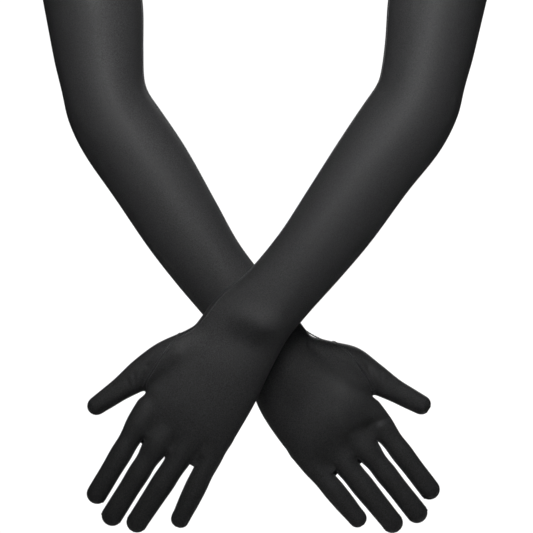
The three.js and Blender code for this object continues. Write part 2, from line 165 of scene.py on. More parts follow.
def smooth(rows, places):
    """Reads a smooth line through rows of (place, value, value ...) at each place."""
    rows = np.array(rows, float)
    x, y = rows[:, 0], rows[:, 1:]
    places = np.clip(places, x[0], x[-1])
    i = np.clip(np.searchsorted(x, places, side="right") - 1, 0, len(x) - 2)
    before, after = np.maximum(np.arange(len(x)) - 1, 0), np.minimum(np.arange(len(x)) + 1, len(x) - 1)
    rise = (y[after] - y[before]) / (x[after] - x[before])[:, None]
    span = (x[i + 1] - x[i])[:, None]
    t = ((places - x[i]) / span[:, 0])[:, None]
    a, b, p, q = y[i], y[i + 1], rise[i] * span, rise[i + 1] * span
    gain = b - a
    return a + t * p + t * t * (3 * gain - 2 * p - q) + t ** 3 * (p + q - 2 * gain)


def softened(points, step, width):
    """An open line's points, each pulled to the mean of its neighbours by a bell of this half width."""
    reach = int(3 * width / step)
    bell = np.exp(-0.5 * (np.arange(-reach, reach + 1) * step / width) ** 2)
    bell /= bell.sum()
    start = points[0] + np.arange(-reach, 0)[:, None] * (points[1] - points[0])
    end = points[-1] + np.arange(1, reach + 1)[:, None] * (points[-1] - points[-2])
    padded = np.vstack([start, points, end])
    return np.stack([np.convolve(padded[:, k], bell, "valid") for k in range(points.shape[1])], 1)


class Limb:
    """A length of filled cloth: a flat-lying centre line with a section at each place along it."""

    def __init__(self, line, shape, start=None, end=None, places=None):
        line = np.asarray(line, float)
        self.line = line
        steps = np.linalg.norm(np.diff(line, axis=0), axis=1)
        self.places = np.concatenate([[0], np.cumsum(steps)]) if places is None else places
        along = np.gradient(line, axis=0)
        along /= np.linalg.norm(along, axis=1)[:, None]
        self.along = along
        self.across = np.stack([-along[:, 1], along[:, 0], np.zeros(len(along))], 1)
        self.across /= np.linalg.norm(self.across, axis=1)[:, None]
        self.deep = np.cross(along, self.across)
        self.start = self.places[0] if start is None else start
        self.end = self.places[-1] if end is None else end
        rows = smooth([tuple(r) + (2.0,) * (6 - len(r)) for r in shape], self.places)
        self.sizes = rows

    def local(self, points):
        """Each point's place along the line, and how far across and out of it the point lies."""
        reach = points @ self.line.T - 0.5 * (self.line ** 2).sum(1)
        near = reach.argmax(1)
        off = points - self.line[near]
        ahead = (off * self.along[near]).sum(1)
        step = self.places[1] - self.places[0]
        at = np.clip(near + ahead / step, 0, len(self.line) - 1)
        low = np.minimum(at.astype(int), len(self.line) - 2)
        t = (at - low)[:, None]
        mix = lambda rows: rows[low] * (1 - t) + rows[low + 1] * t
        off = points - mix(self.line)
        place = self.places[0] + (near + ahead / step) * step
        return place, (off * mix(self.across)).sum(1), (off * mix(self.deep)).sum(1), mix(self.sizes)

    def distance(self, points):
        """About how far each point lies outside the cloth."""
        place, v, w, size = self.local(points)
        half = np.where(v > 0, size[:, 0], size[:, 1])
        deep = np.where(w > 0, size[:, 2], size[:, 3])
        n = size[:, 4]
        around = ((np.abs(v) / half) ** n + (np.abs(w) / deep) ** n) ** (1 / n)
        # both ends are round
        end = 0.5 * (size[:, 0] + size[:, 1])
        past = np.maximum(place - (self.end - end), 0) + np.maximum(self.start + end - place, 0)
        ratio = np.sqrt(around ** 2 + (past / end) ** 2) + 1e-6
        off = np.sqrt(v ** 2 + w ** 2 + past ** 2) + 1e-6
        return off * (1 - 1 / ratio)


def soft_min(a, b, ease):
    """The nearer of two distances, with a fillet of about this size where they are alike."""
    h = np.clip(0.5 + 0.5 * (b - a) / ease, 0, 1)
    return b * (1 - h) + a * h - ease * h * (1 - h)


class Glove:
    """One glove's directions, lines and cloth."""

    def __init__(self, name):
        self.name = name
        worn = WORN[name]
        self.side, self.drift = worn["side"], worn["drift"]
        lean = lambda angle: np.array([self.side * math.sin(angle), 0, -math.cos(angle)])
        upper, lower, hand = (math.radians(worn[k]) for k in ("upper", "lower", "hand"))
        self.along = lean(hand)
        self.across = np.array([-self.side * self.along[2], 0, self.side * self.along[0]])
        self.back = np.array([0.0, -1.0, 0.0])
        self.elbow = np.array(worn["opening"]) + UPPER_ARM * lean(upper)
        self.wrist = self.elbow + FOREARM * lean(lower)
        # the arm's line, in the hand's directions
        ray = lambda angle: np.array([math.cos(angle), math.sin(angle), 0])
        self.elbow_local = -FOREARM * ray(lower - hand)
        self.opening_local = self.elbow_local - UPPER_ARM * ray(upper - hand)
        self.lower_local = ray(lower - hand)
        self.upper_local = ray(upper - hand)
        self.shape()

    def world(self, local):
        """Points in the hand's directions as points in metres."""
        local = np.atleast_2d(np.asarray(local, float))
        droop = self.droop(local[:, 0])
        out = self.wrist + np.outer(local[:, 0], self.along) + np.outer(local[:, 1], self.across)
        return (out + np.outer(local[:, 2] - droop, self.back)) * MM

    def droop(self, u):
        """How far the fingers hang towards the palm's side."""
        return FINGER_DROOP * (np.maximum(0, u - PALM) / DROOP_REACH) ** 2

    def drift_at(self, u):
        return self.drift * np.clip(np.asarray(u, float) / PALM, 0, 1)

    def finger_point(self, finger, s):
        f = FINGERS[finger]
        turn = math.radians(SPLAY[self.name][finger])
        s = np.asarray(s, float)
        u = PALM + f["foot"] + s * math.cos(turn)
        return np.stack([u, f["across"] + self.drift + s * math.sin(turn), 0 * u], -1)

    def thumb_point(self, s):
        turn = math.radians(SPLAY[self.name]["thumb"])
        s = np.asarray(s, float)
        u = THUMB_FOOT[0] + s * math.cos(turn)
        v = THUMB_FOOT[1] + s * math.sin(turn) + self.drift_at(u)
        w = THUMB_DEPTH * np.maximum(0, s) / THUMB_LENGTH + self.droop(u)
        return np.stack([u, v, w], -1)

    def shape(self):
        step = 2.0
        corner = [self.opening_local, self.elbow_local, np.zeros(3), np.array([60.0, self.drift_at(60), 0])]
        line = []
        for a, b in zip(corner, corner[1:]):
            count = int(round(np.linalg.norm(b - a) / step))
            line += [a + (b - a) * k / count for k in range(count)]
        line = np.array(line)
        at_elbow = int(UPPER_ARM / step)
        soft = softened(line, step, ELBOW_ROUND)
        firm = softened(line, step, WRIST_ROUND)
        share = np.clip((np.arange(len(line)) - at_elbow - 30) / 20, 0, 1)[:, None]
        line = soft * (1 - share) + firm * share
        self.arm = Limb(line, ARM_SHAPE[self.name], start=-60, end=520)
        u = np.arange(-30, 124.1, 2)
        middle = np.stack([u, self.drift_at(u), 0 * u], 1)
        self.palm = Limb(middle, PALM_SHAPE[self.name], start=-90, end=121, places=u)
        self.fingers = {}
        for name, f in FINGERS.items():
            s = np.arange(-FINGER_ROOT, f["length"] + 0.1, 2)
            foot, joint, tip = f["half"]
            flat = 0.97
            rows = [(-FINGER_ROOT, foot, foot, 8, 9), (0, foot, foot, foot * flat, foot * flat)]
            rows += [(f["joint"] * 0.55, joint - 0.25, joint - 0.25, joint * flat - 0.3, joint * flat - 0.2)]
            rows += [(f["joint"], joint, joint, joint * flat, joint * flat)]
            rows += [(f["joint"] + 14, joint - 0.45, joint - 0.45, joint * flat - 0.6, joint * flat - 0.3)]
            rows += [(f["length"] - 12, tip + 0.35, tip + 0.35, tip * 0.95, tip)]
            rows += [(f["length"], tip, tip, tip * 0.9, tip * 0.98)]
            self.fingers[name] = Limb(self.finger_point(name, s), rows, places=s)
        s = np.arange(-16, THUMB_SHAPE[self.name][-1][0] + 0.1, 2)
        self.thumb = Limb(self.thumb_point(s), THUMB_SHAPE[self.name], places=s)

    def web(self, points):
        """The cloth between the fingers, three rounded tongues that reach a little past the palm."""
        near = np.full(len(points), 1e3)
        names = list(FINGERS)
        for i, past in enumerate(WEBS):
            a, b = (FINGERS[n]["across"] for n in names[i:i + 2])
            middle, reach = 0.5 * (a + b) + self.drift, 0.5 * (a - b)
            du = np.maximum(np.abs(points[:, 0] - PALM + 20 - past / 2) - (20 + past / 2 - 4), 0)
            dv = np.maximum(np.abs(points[:, 1] - middle) - reach + 4, 0)
            dw = np.maximum(np.abs(points[:, 2]) - (WEB_DEEP - 4), 0)
            near = np.minimum(near, np.sqrt(du ** 2 + dv ** 2 + dw ** 2) - 4)
        return near

    def distance(self, points):
        """How far each point lies outside the whole glove's cloth."""
        out = np.full(len(points), 1e3)
        arm = points[:, 0] < 55
        out[arm] = self.arm.distance(points[arm])
        hand = points[:, 0] > -25
        p = points[hand]
        palm = self.palm.distance(p)
        base = soft_min(palm, self.web(p), 5)
        thumb = self.thumb.distance(p)
        whole = soft_min(base, thumb, 5)
        for limb in self.fingers.values():
            whole = np.minimum(whole, soft_min(base, limb.distance(p), 3.5))
        # the sleeve runs into the palm over the wrist
        share = np.clip((p[:, 0] + 20) / 40, 0, 1)
        share = share * share * (3 - 2 * share)
        before = np.where(p[:, 0] < 55, out[hand], whole)
        out[hand] = before * (1 - share) + whole * share
        return out

    def slope(self, points, gap=0.15):
        """The distance at each point and the direction in which it grows."""
        here = self.distance(points)
        rise = np.stack([self.distance(points + gap * e) - here for e in np.eye(3)], 1) / gap
        return here, rise

    def finish_points(self, points):
        """The wearer's bones and the cloth's folds, raised or sunk a little out of the smooth form."""
        _, rise = self.slope(points)
        out = rise / np.linalg.norm(rise, axis=1)[:, None]
        lift = np.zeros(len(points))
        for u0, v0, u1, v1, wide, high, face in FORMS[self.name] + FORMS["both"]:
            a = np.array([u0, v0 + self.drift_at(u0)])
            b = np.array([u1, v1 + self.drift_at(u1)])
            line = b - a
            t = np.clip(((points[:, :2] - a) @ line) / max(line @ line, 1e-6), 0, 1)
            off = np.linalg.norm(points[:, :2] - a - t[:, None] * line, axis=1)
            facing = np.clip(out[:, 2] * face, 0, 1)
            lift += high * np.exp(-(off / wide) ** 2) * facing
        return points + out * lift[:, None]

    def settle(self, points, rounds=5):
        """Points brought onto the cloth."""
        points = points.copy()
        for _ in range(rounds):
            here, rise = self.slope(points)
            size = np.maximum((rise ** 2).sum(1), 0.25)
            move = rise * (here / size)[:, None]
            length = np.linalg.norm(move, axis=1)
            points -= move * np.minimum(1, 1.5 / np.maximum(length, 1e-9))[:, None]
        return points


def loft(limb, start, end, step, thinner, sides=28):
    """Vertices and faces of a limb's closed shape, a little thinner than its cloth."""
    places = np.linspace(start, end, max(2, int(round((end - start) / step)) + 1))
    low = np.interp(places, limb.places, np.arange(len(limb.places)))
    i = np.minimum(low.astype(int), len(limb.places) - 2)
    t = (low - i)[:, None]
    mix = lambda rows: rows[i] * (1 - t) + rows[i + 1] * t
    rows = (limb.line, limb.across, limb.deep, limb.along, limb.sizes)
    centre, across, deep, along, size = (mix(r) for r in rows)
    centre = centre + along * (places - np.interp(low, np.arange(len(limb.places)), limb.places))[:, None]
    turn = np.arange(sides) / sides * 2 * math.pi
    c, s = np.cos(turn), np.sin(turn)
    half = np.where(c > 0, size[:, :1], size[:, 1:2]) - thinner
    thick = np.where(s > 0, size[:, 2:3], size[:, 3:4]) - thinner
    n = 2 / size[:, 4:5]
    x = half * np.sign(c) * np.abs(c) ** n
    y = thick * np.sign(s) * np.abs(s) ** n
    rings = centre[:, None] + x[..., None] * across[:, None] + y[..., None] * deep[:, None]
    verts = list(rings.reshape(-1, 3)) + [centre[0], centre[-1]]
    faces, count = [], len(places)
    for r in range(count - 1):
        for k in range(sides):
            j = (k + 1) % sides
            faces.append((r * sides + k, r * sides + j, (r + 1) * sides + j, (r + 1) * sides + k))
    for k in range(sides):
        j = (k + 1) % sides
        faces.append((count * sides, j, k))
        faces.append((count * sides + 1, (count - 1) * sides + k, (count - 1) * sides + j))
    return verts, faces


def rough_form(glove):
    """The glove's limbs run together as one mesh, in the hand's directions and millimetres."""
    verts, faces = [], []
    parts = [
        (glove.arm, -3.0, glove.arm.places[-1], 6, 0.0),
        (glove.palm, -30.0, 120.0, 5, 0.2),
        (glove.thumb, -10.0, THUMB_LENGTH - 4, 5, 0.4),
    ]
    for name, f in FINGERS.items():
        parts.append((glove.fingers[name], -FINGER_ROOT + 4, f["length"] - 5, 5, 0.6))
    for part in parts:
        more, joined = loft(*part)
        faces += [tuple(len(verts) + k for k in face) for face in joined]
        verts += more
    for i, past in enumerate(WEBS):
        names = list(FINGERS)
        a, b = (FINGERS[n]["across"] + glove.drift for n in names[i:i + 2])
        box = [(u, v, w) for u in (PALM - 20, PALM + past - 1) for v in (b, a) for w in (-5.5, 5.5)]
        quads = [(0, 1, 3, 2), (4, 6, 7, 5), (0, 4, 5, 1), (2, 3, 7, 6), (0, 2, 6, 4), (1, 5, 7, 3)]
        faces += [tuple(len(verts) + k for k in face) for face in quads]
        verts += [np.array(p, float) for p in box]
    mesh = bpy.data.meshes.new("form")
    mesh.from_pydata([tuple(v) for v in verts], [], faces)
    mesh.update()
    form = bpy.data.objects.new("form", mesh)
    bpy.context.scene.collection.objects.link(form)
    remesh = form.modifiers.new("even", "REMESH")
    remesh.mode = "VOXEL"
    remesh.voxel_size = VOXEL
    remesh.adaptivity = 0
    even = bpy.data.meshes.new_from_object(form.evaluated_get(bpy.context.evaluated_depsgraph_get()))
    bpy.data.objects.remove(form)
    return even


# ------------------------------------------------------------------------------- cutting the pieces

FOREARM_CUT = -96.0  # where the sleeve's two lengths meet, along the hand's line from the wrist
STRIP = 4.6  # half the width of the strip between two fingers
STRIP_SHORT = 3.0  # the strip ends this far before the tip
STRIP_TAPER = 16.0


def face_middles(bm):
    """The middle of every face."""
    return np.array([f.calc_center_median()[:] for f in bm.faces])


def strip_half(length, place):
    """Half a strip's width at a place on a finger of this length. It runs to a point short of the tip."""
    return STRIP * np.clip((length - STRIP_SHORT - place) / STRIP_TAPER, 0, 1) ** 0.5


def slice_at(bm, point, normal, inside):
    """Cuts the faces whose middles pass the test along a plane."""
    middles = face_middles(bm)
    near = np.abs((middles - point) @ normal) < 4
    chosen = [f for f, ok in zip(bm.faces, near & inside(middles)) if ok]
    edges = {e for f in chosen for e in f.edges}
    verts = {v for f in chosen for v in f.verts}
    bmesh.ops.bisect_plane(
        bm, geom=[*chosen, *edges, *verts], dist=0.02, plane_co=Vector(point), plane_no=Vector(normal)
    )


def part_of(glove, middles):
    """The name of the piece that each face belongs to."""
    u, v, w = middles.T
    name = np.full(len(middles), "hand", dtype=object)
    name[u < FOREARM_CUT] = "sleeve"
    off = (middles - glove.opening_local) @ glove.upper_local
    name[off < 0] = "waste"
    names = list(FINGERS)
    across = np.array([FINGERS[n]["across"] for n in names]) + glove.drift
    turn = np.radians([SPLAY[glove.name][n] for n in names])
    foot = np.array([FINGERS[n]["foot"] for n in names]) + PALM
    centre = across + (u[:, None] - foot) * np.tan(turn)
    finger = np.abs(v[:, None] - centre).argmin(1)
    cut = np.array([FINGERS[n]["cut"] for n in names])
    along = past_thumb_cut(glove, middles)
    thumb = (along > 0) & (v > 44) & (u > 60)
    on_finger = (u > cut[finger]) & ~thumb & (u > 112)
    for k, n in enumerate(names):
        name[on_finger & (finger == k)] = n
    name[thumb] = "thumb"
    # the strips between the fingers
    off_axis = v - centre[np.arange(len(v)), finger]
    half = np.array([FINGERS[n]["half"][0] for n in names])[finger]
    length = np.array([FINGERS[n]["length"] for n in names])[finger] + foot[finger]
    narrow = strip_half(length, u)
    flank = (np.abs(w) < narrow) & (np.abs(off_axis) > 0.5 * half)
    between = np.where(off_axis < 0, finger, finger - 1)
    real = (between >= 0) & (between < 3)
    past = np.array(WEBS)[np.clip(between, 0, 2)] + PALM - 5
    strip = flank & real & (u > past) & ~thumb & (u > 100)
    for k in range(3):
        name[strip & (between == k) & ~on_finger] = f"fourchette_{k + 1}"
    for k, n in enumerate(names):
        for side, tag in ((-1, "outer"), (1, "inner")):
            chosen = strip & on_finger & (finger == k) & (np.sign(off_axis) == side)
            name[chosen] = f"{n}_fourchette_{tag}"
    return name


def past_thumb_cut(glove, points):
    """How far past the thumb's cut each point lies, along the thumb."""
    start = glove.thumb_point(THUMB_CUT)
    line = glove.thumb_point(THUMB_CUT + 5) - start
    return (points - start) @ (line / np.linalg.norm(line))


def shell(name, glove, verts, normals, faces):
    """A piece of cloth with a thickness, from its outer face in the hand's directions."""
    world = glove.world(verts) / MM
    slope = 2 * FINGER_DROOP * np.maximum(0, verts[:, 0] - PALM) / DROOP_REACH ** 2
    n = normals.copy()
    n[:, 0] += n[:, 2] * slope
    n = n[:, :1] * glove.along + n[:, 1:2] * glove.across + n[:, 2:] * glove.back
    n /= np.linalg.norm(n, axis=1)[:, None]
    inner = world - CLOTH * n
    count = len(world)
    if np.dot(glove.along, np.cross(glove.across, glove.back)) < 0:
        faces = [f[::-1] for f in faces]
    edges = {}
    for f in faces:
        for a, b in zip(f, f[1:] + f[:1]):
            edges[(a, b)] = True
    rim = [(b, a, a + count, b + count) for a, b in edges if (b, a) not in edges]
    lining = [tuple(k + count for k in f[::-1]) for f in faces]
    mesh = bpy.data.meshes.new(name)
    mesh.from_pydata([tuple(p) for p in np.vstack([world, inner]) * MM], [], list(faces) + lining + rim)
    mesh.update()
    mesh.shade_smooth()
    mesh.normals_split_custom_set_from_vertices([tuple(x) for x in np.vstack([n, -n])])
    piece = bpy.data.objects.new(name, mesh)
    bpy.context.scene.collection.objects.link(piece)
    return piece


def cut_glove(glove):
    """All the cloth pieces of one glove by name."""
    form = rough_form(glove)
    points = np.empty(len(form.vertices) * 3)
    form.vertices.foreach_get("co", points)
    points = glove.settle(points.reshape(-1, 3))
    points = glove.finish_points(points)
    form.vertices.foreach_set("co", points.ravel())
    form.update()
    bm = bmesh.new()
    bm.from_mesh(form)
    bmesh.ops.remove_doubles(bm, verts=bm.verts, dist=0.02)
    bmesh.ops.recalc_face_normals(bm, faces=bm.faces)
    bm.normal_update()
    shade = bm.verts.layers.float_vector.new("shade")
    for v in bm.verts:
        v[shade] = v.normal
    slice_at(bm, np.array([FOREARM_CUT, 0, 0]), np.array([1.0, 0, 0]), lambda m: np.full(len(m), True))
    slice_at(bm, glove.opening_local, glove.upper_local, lambda m: np.full(len(m), True))
    for n, f in FINGERS.items():
        middle = f["across"] + glove.drift
        slice_at(
            bm, np.array([f["cut"], 0, 0]), np.array([1.0, 0, 0]),
            lambda m: np.abs(m[:, 1] - middle) < 11,
        )
    start = glove.thumb_point(THUMB_CUT)
    line = glove.thumb_point(THUMB_CUT + 5) - start
    slice_at(bm, start, line / np.linalg.norm(line), lambda m: (m[:, 1] > 44) & (m[:, 0] < 108))
    bm.verts.index_update()
    names = part_of(glove, face_middles(bm))
    co = np.array([v.co[:] for v in bm.verts])
    normal = np.array([v[shade][:] for v in bm.verts])
    groups = {}
    for f, n in zip(bm.faces, names):
        if n != "waste":
            groups.setdefault(n, []).append([v.index for v in f.verts])
    bm.free()
    pieces = {}
    for n, faces in groups.items():
        used = np.unique(np.concatenate([np.array(f) for f in faces]))
        new = np.full(len(co), -1)
        new[used] = np.arange(len(used))
        faces = [tuple(int(new[k]) for k in f) for f in faces]
        pieces[n] = shell(f"{glove.name}_{n}", glove, co[used], normal[used], faces)
    return pieces


# how far to each side of a joint the two points that bodies_of gives lie
ELBOW_SOFT = 55.0
WRIST_SOFT = 26.0
FINGER_SOFT = 12.0
THUMB_SOFT = 9.0


def bodies_of(glove, part):
    """The bodies on either side of a piece's joint, and two points on either side of that joint."""
    g = glove.name
    if part == "sleeve":
        start = glove.elbow_local - ELBOW_SOFT * glove.upper_local
        end = glove.elbow_local + ELBOW_SOFT * glove.lower_local
        return f"{g}_cuff", f"{g}_forearm", start, end
    if part in ("hand", "fourchette"):
        return f"{g}_forearm", f"{g}_hand", np.array([-WRIST_SOFT, 0, 0]), np.array([WRIST_SOFT, 0, 0])
    if part == "thumb":
        start, end = glove.thumb_point(THUMB_JOINT - THUMB_SOFT), glove.thumb_point(THUMB_JOINT + THUMB_SOFT)
        return f"{g}_hand", f"{g}_thumb", start, end
    joint = FINGERS[part]["joint"]
    start = glove.finger_point(part, joint - FINGER_SOFT)
    end = glove.finger_point(part, joint + FINGER_SOFT)
    return f"{g}_hand", f"{g}_{part}", start, end


def joins(glove, piece, part):
    """Bakes a piece's place into its mesh. The bodies and points it would bend between are looked up, but the
    piece is not made to bend.
    """
    a, b, start, end = bodies_of(glove, part)
    tuple(glove.world(start)[0])
    tuple(glove.world(end)[0])
    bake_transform(piece)


# -------------------------------------------------------------------------------- seams and the hem

RIDGE = 0.5  # half width of a seam's raised edge
STITCH_EVERY = 2.4
STITCH_LONG = 1.5
STITCH_THICK = 0.2
SEAM_STEP = 1.5
SIDE_SEAM_TURN = 14  # degrees from the thumb's side towards the back
TWIN_SEAM = 0.9  # half the gap between the two lines of the thumb's seam
STRIP_DIP = 6.0  # how far a strip's seam dips between two fingers
HEM_ROLL = 1.8


def arm_point(limb, place, turn, inset=0.0):
    """A point on a limb's section, this many degrees round from the thumb's side towards the back."""
    at = np.interp(place, limb.places, np.arange(len(limb.places)))
    low = min(int(at), len(limb.places) - 2)
    t = at - low
    centre, across, deep, along, size = (
        r[low] * (1 - t) + r[low + 1] * t for r in (limb.line, limb.across, limb.deep, limb.along, limb.sizes)
    )
    spare = place - np.clip(place, limb.places[0], limb.places[-1])
    c, s = math.cos(math.radians(turn)), math.sin(math.radians(turn))
    half = (size[0] if c > 0 else size[1]) - inset
    thick = (size[2] if s > 0 else size[3]) - inset
    return centre + along * spare + across * half * c + deep * thick * s


def evenly(points, step):
    """A line of points at even steps."""
    points = np.array(points, float)
    run = np.concatenate([[0], np.cumsum(np.linalg.norm(np.diff(points, axis=0), axis=1))])
    places = np.linspace(0, run[-1], max(2, int(run[-1] / step) + 1))
    return np.stack([np.interp(places, run, points[:, k]) for k in range(3)], 1)


def seam_lines(glove):
    """Every seam of a glove as a line on the cloth, in the hand's directions."""
    on_hand = lambda points: [np.array([u, v + glove.drift_at(u), w]) for u, v, w in points]
    beside = lambda line, by: [p + np.array([0, by, 0]) for p in line]
    # the side seam, down the thumb's side from the hem to the thumb, and the thumb's own seam, which is
    # double on the back of the hand
    down = [arm_point(glove.arm, s, SIDE_SEAM_TURN) for s in np.arange(1, 352, 6)]
    down += on_hand(((14, 34, 8), (28, 41, 10), (40, 44.5, 9)))
    back = on_hand(((40, 44.5, 9), (60, 46, 14), (78, 44, 12), (89, 42, 4)))
    front = ((89, 42, -4), (82, 34, -16), (66, 25, -20), (46, 26, -20), (34, 36, -16), (40, 44.5, 9))
    lines = [down, beside(back, TWIN_SEAM), beside(back, -TWIN_SEAM), on_hand(front)]
    # the strips' seams, round each gap between two fingers
    names = list(FINGERS)
    for i, past in enumerate(WEBS):
        a, b = names[i], names[i + 1]
        for face in (1, -1):
            sides = []
            for name, towards in ((a, -1), (b, 1)):
                limb, f = glove.fingers[name], FINGERS[name]
                start = past - f["foot"] + 5
                flank = []
                for s in np.arange(start, f["length"] - STRIP_SHORT, 3.0):
                    narrow = strip_half(f["length"], s)
                    turn = math.degrees(math.asin(min(0.9, narrow / f["half"][1]))) * face
                    flank.append(arm_point(limb, s, turn if towards > 0 else 180 - turn))
                sides.append(flank)
            low, high = sides[0][0], sides[1][0]
            bend = []
            for k in range(1, 8):
                t = k / 8
                dip = STRIP_DIP * math.sin(math.pi * t)
                bend.append(low * (1 - t) + high * t - np.array([dip, 0, 0]))
            lines.append(sides[0][::-1] + bend + sides[1])
    made = []
    for line in lines:
        line = evenly(line, SEAM_STEP)
        line = glove.settle(line, 6)
        line = glove.finish_points(line)
        for _ in range(2):
            line[1:-1] = 0.5 * line[1:-1] + 0.25 * (line[:-2] + line[2:])
        # the ends go under the cloth
        _, rise = glove.slope(line)
        out = rise / np.linalg.norm(rise, axis=1)[:, None]
        for end, under in ((0, 0.9), (1, 0.4), (-2, 0.4), (-1, 0.9)):
            line[end] -= under * out[end]
        made.append(line)
    return made


def seam_tree():
    """Geometry Nodes: a raised edge along each line, and a stitch at every so many millimetres."""
    tree = bpy.data.node_groups.new("seam", "GeometryNodeTree")
    face = tree.interface
    face.new_socket("Geometry", in_out="INPUT", socket_type="NodeSocketGeometry")
    for name, value in (
        ("Edge half width", RIDGE), ("Stitch spacing", STITCH_EVERY), ("Stitch length", STITCH_LONG),
        ("Stitch thickness", STITCH_THICK),
    ):
        face.new_socket(name, in_out="INPUT", socket_type="NodeSocketFloat").default_value = value * MM
    for name in ("Edge material", "Stitch material"):
        face.new_socket(name, in_out="INPUT", socket_type="NodeSocketMaterial")
    face.new_socket("Geometry", in_out="OUTPUT", socket_type="NodeSocketGeometry")
    add, link = tree.nodes.new, tree.links.new
    given, out = add("NodeGroupInput"), add("NodeGroupOutput")
    curve = add("GeometryNodeMeshToCurve")
    link(given.outputs["Geometry"], curve.inputs["Mesh"])
    rim = add("GeometryNodeCurvePrimitiveCircle")
    rim.inputs["Resolution"].default_value = 6
    link(given.outputs["Edge half width"], rim.inputs["Radius"])
    edge = add("GeometryNodeCurveToMesh")
    edge.inputs["Fill Caps"].default_value = True
    link(curve.outputs["Curve"], edge.inputs["Curve"])
    link(rim.outputs["Curve"], edge.inputs["Profile Curve"])
    edge_cloth = add("GeometryNodeSetMaterial")
    link(edge.outputs["Mesh"], edge_cloth.inputs["Geometry"])
    link(given.outputs["Edge material"], edge_cloth.inputs["Material"])
    spaced = add("GeometryNodeCurveToPoints")
    spaced.mode = "LENGTH"
    link(curve.outputs["Curve"], spaced.inputs["Curve"])
    link(given.outputs["Stitch spacing"], spaced.inputs["Length"])
    thread = add("GeometryNodeMeshCylinder")
    thread.inputs["Vertices"].default_value = 6
    link(given.outputs["Stitch thickness"], thread.inputs["Radius"])
    link(given.outputs["Stitch length"], thread.inputs["Depth"])
    turn = add("FunctionNodeAlignRotationToVector")
    turn.axis = "Z"
    link(spaced.outputs["Tangent"], turn.inputs["Vector"])
    out_of_cloth = add("GeometryNodeInputNamedAttribute")
    out_of_cloth.data_type = "FLOAT_VECTOR"
    out_of_cloth.inputs["Name"].default_value = "out"
    lift = add("ShaderNodeVectorMath")
    lift.operation = "SCALE"
    link(out_of_cloth.outputs["Attribute"], lift.inputs[0])
    link(given.outputs["Edge half width"], lift.inputs["Scale"])
    raised = add("GeometryNodeSetPosition")
    link(spaced.outputs["Points"], raised.inputs["Geometry"])
    link(lift.outputs["Vector"], raised.inputs["Offset"])
    sewn = add("GeometryNodeInstanceOnPoints")
    link(raised.outputs["Geometry"], sewn.inputs["Points"])
    link(thread.outputs["Mesh"], sewn.inputs["Instance"])
    link(turn.outputs["Rotation"], sewn.inputs["Rotation"])
    real = add("GeometryNodeRealizeInstances")
    link(sewn.outputs["Instances"], real.inputs["Geometry"])
    stitch_thread = add("GeometryNodeSetMaterial")
    link(real.outputs["Geometry"], stitch_thread.inputs["Geometry"])
    link(given.outputs["Stitch material"], stitch_thread.inputs["Material"])
    both = add("GeometryNodeJoinGeometry")
    link(stitch_thread.outputs["Geometry"], both.inputs["Geometry"])
    link(edge_cloth.outputs["Geometry"], both.inputs["Geometry"])
    link(both.outputs["Geometry"], out.inputs["Geometry"])
    return tree


def sewn_lines(name, glove, lines, tree, edge, thread, sink=0.1, **sizes):
    """A piece with a seam along each of these lines."""
    verts, outs, edges = [], [], []
    for line in lines:
        _, rise = glove.slope(line)
        out = rise / np.linalg.norm(rise, axis=1)[:, None]
        first = len(verts)
        verts += list(glove.world(line - out * sink))
        outs += list(out[:, :1] * glove.along + out[:, 1:2] * glove.across + out[:, 2:] * glove.back)
        edges += [(first + k, first + k + 1) for k in range(len(line) - 1)]
    path = bpy.data.meshes.new(name)
    path.from_pydata([tuple(v) for v in verts], edges, [])
    path.attributes.new("out", "FLOAT_VECTOR", "POINT").data.foreach_set("vector", np.array(outs).ravel())
    guide = bpy.data.objects.new(name + "_guide", path)
    bpy.context.scene.collection.objects.link(guide)
    sewing = guide.modifiers.new("seam", "NODES")
    sewing.node_group = tree
    given = {"Edge material": edge, "Stitch material": thread}
    given.update({k.replace("_", " ").capitalize(): v * MM for k, v in sizes.items()})
    for socket in tree.interface.items_tree:
        if socket.in_out == "INPUT" and socket.name in given:
            sewing[socket.identifier] = given[socket.name]
    mesh = bpy.data.meshes.new_from_object(guide.evaluated_get(bpy.context.evaluated_depsgraph_get()))
    bpy.data.objects.remove(guide)
    mesh.name = name
    mesh.shade_smooth()
    piece = bpy.data.objects.new(name, mesh)
    bpy.context.scene.collection.objects.link(piece)
    return piece


def seams_by_part(glove, lines):
    """The stretches of the seams that lie on each piece."""
    found = {}
    for line in lines:
        parts = [str(p).split("_fourchette")[0] for p in part_of(glove, line)]
        parts = ["hand" if p.startswith("fourchette") else p for p in parts]
        start = 0
        for k in range(1, len(line) + 1):
            if k == len(line) or parts[k] != parts[start]:
                piece = line[start:min(k + 1, len(line))]
                if len(piece) > 1 and parts[start] != "waste":
                    found.setdefault(parts[start], []).append(piece)
                start = k
    return found


